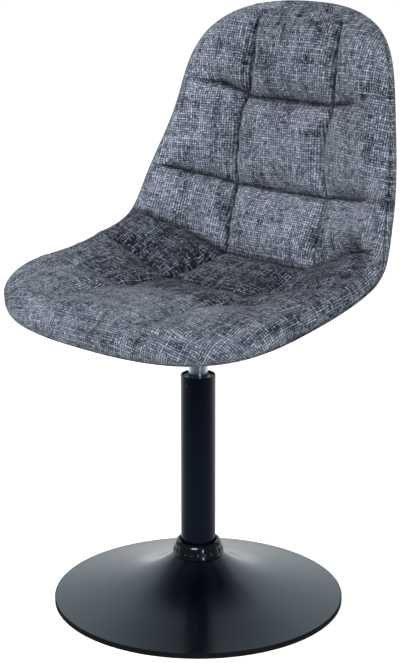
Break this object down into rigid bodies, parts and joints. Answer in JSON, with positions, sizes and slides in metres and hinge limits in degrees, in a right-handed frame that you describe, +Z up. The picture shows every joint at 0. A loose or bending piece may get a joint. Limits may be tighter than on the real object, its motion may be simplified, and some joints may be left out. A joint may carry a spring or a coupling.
{
  "type": "swivel dining chair",
  "caption": "Swivel dining chair with a tufted fabric scoop seat on a gas lift column and a round trumpet base; release lever under the seat.",
  "frame": {"origin": "on the floor, on the swivel axis at the centre of the round base", "axes": "+Z up; the sitter faces -Y, so +Y points to the back and +X to the sitter's left"},
  "size_m": [0.511, 0.4748, 0.8502],
  "materials": {
    "front_fabric": "slubby woven chenille, slate grey, tufted",
    "rear_fabric": "slubby woven chenille, slate grey, smooth",
    "shell_plastic": "moulded black",
    "base_paint": "satin black powder coat",
    "column_paint": "satin black powder coat",
    "mount_paint": "matt black paint",
    "lever_paint": "satin black",
    "collar_plastic": "glossy black",
    "grip_plastic": "matt black",
    "bush_plastic": "natural grey acetal",
    "floor_rubber": "matt black",
    "seal_rubber": "matt black",
    "cylinder_steel": "ground steel",
    "bearing_steel": "hardened, ground",
    "raw_steel": "as machined",
    "zinc_steel": "zinc plated",
    "insert_brass": "as turned"
  },
  "bodies": {
    "base": {"floor_ring": "floor_rubber", "base_dish": "base_paint", "base_socket": "raw_steel", "hub_brace": "base_paint", "base_collar": "collar_plastic", "column_tube": "column_paint", "guide_bush": "bush_plastic", "column_end_plate": "raw_steel", "lower_race": "bearing_steel"},
    "rod": {"thrust_balls": "bearing_steel", "ball_cage": "bush_plastic", "upper_race": "bearing_steel", "rubber_bumper": "seal_rubber", "piston_rod": "cylinder_steel", "clip_washer": "zinc_steel", "retaining_clip": "zinc_steel", "piston_head": "raw_steel", "piston_seal": "seal_rubber"},
    "seat": {"gas_cylinder": "cylinder_steel", "rod_guide": "raw_steel", "rod_seal": "seal_rubber", "valve_body": "raw_steel", "mount_plate": "mount_paint", "mount_pan": "mount_paint", "taper_hub": "mount_paint", "threaded_inserts": "insert_brass", "bolt_washers": "zinc_steel", "mount_bolts": "zinc_steel", "lever_bracket": "mount_paint", "lever_pivot": "zinc_steel", "moulded_shell": "shell_plastic", "rear_cover": "rear_fabric", "seat_pad": "front_fabric", "back_pad": "front_fabric"},
    "lever": {"release_lever": "lever_paint", "lever_grip": "grip_plastic"},
    "valve": {"valve_pin": "zinc_steel"}
  },
  "joints": [
    {"name": "swivel", "type": "hinge", "parent": "base", "child": "rod", "pos_m": [0, 0, 0.03], "axis": [0, 0, 1], "continuous": true},
    {"name": "lift", "type": "slide", "parent": "rod", "child": "seat", "axis": [0, 0, 1], "range_m": [0, 0.12]},
    {"name": "lever", "type": "hinge", "parent": "seat", "child": "lever", "pos_m": [-0.034, 0, 0.40961], "axis": [0, 1, 0], "range_deg": [0, 6], "stiffness_Nm_per_rad": 4},
    {"name": "valve_push", "type": "slide", "parent": "seat", "child": "valve", "axis": [0, 0, -1], "range_m": [0, 0.004]}
  ],
  "couplings": [
    {"joint": "valve_push", "follows": "lever", "m_per_rad": 0.034}
  ]
}
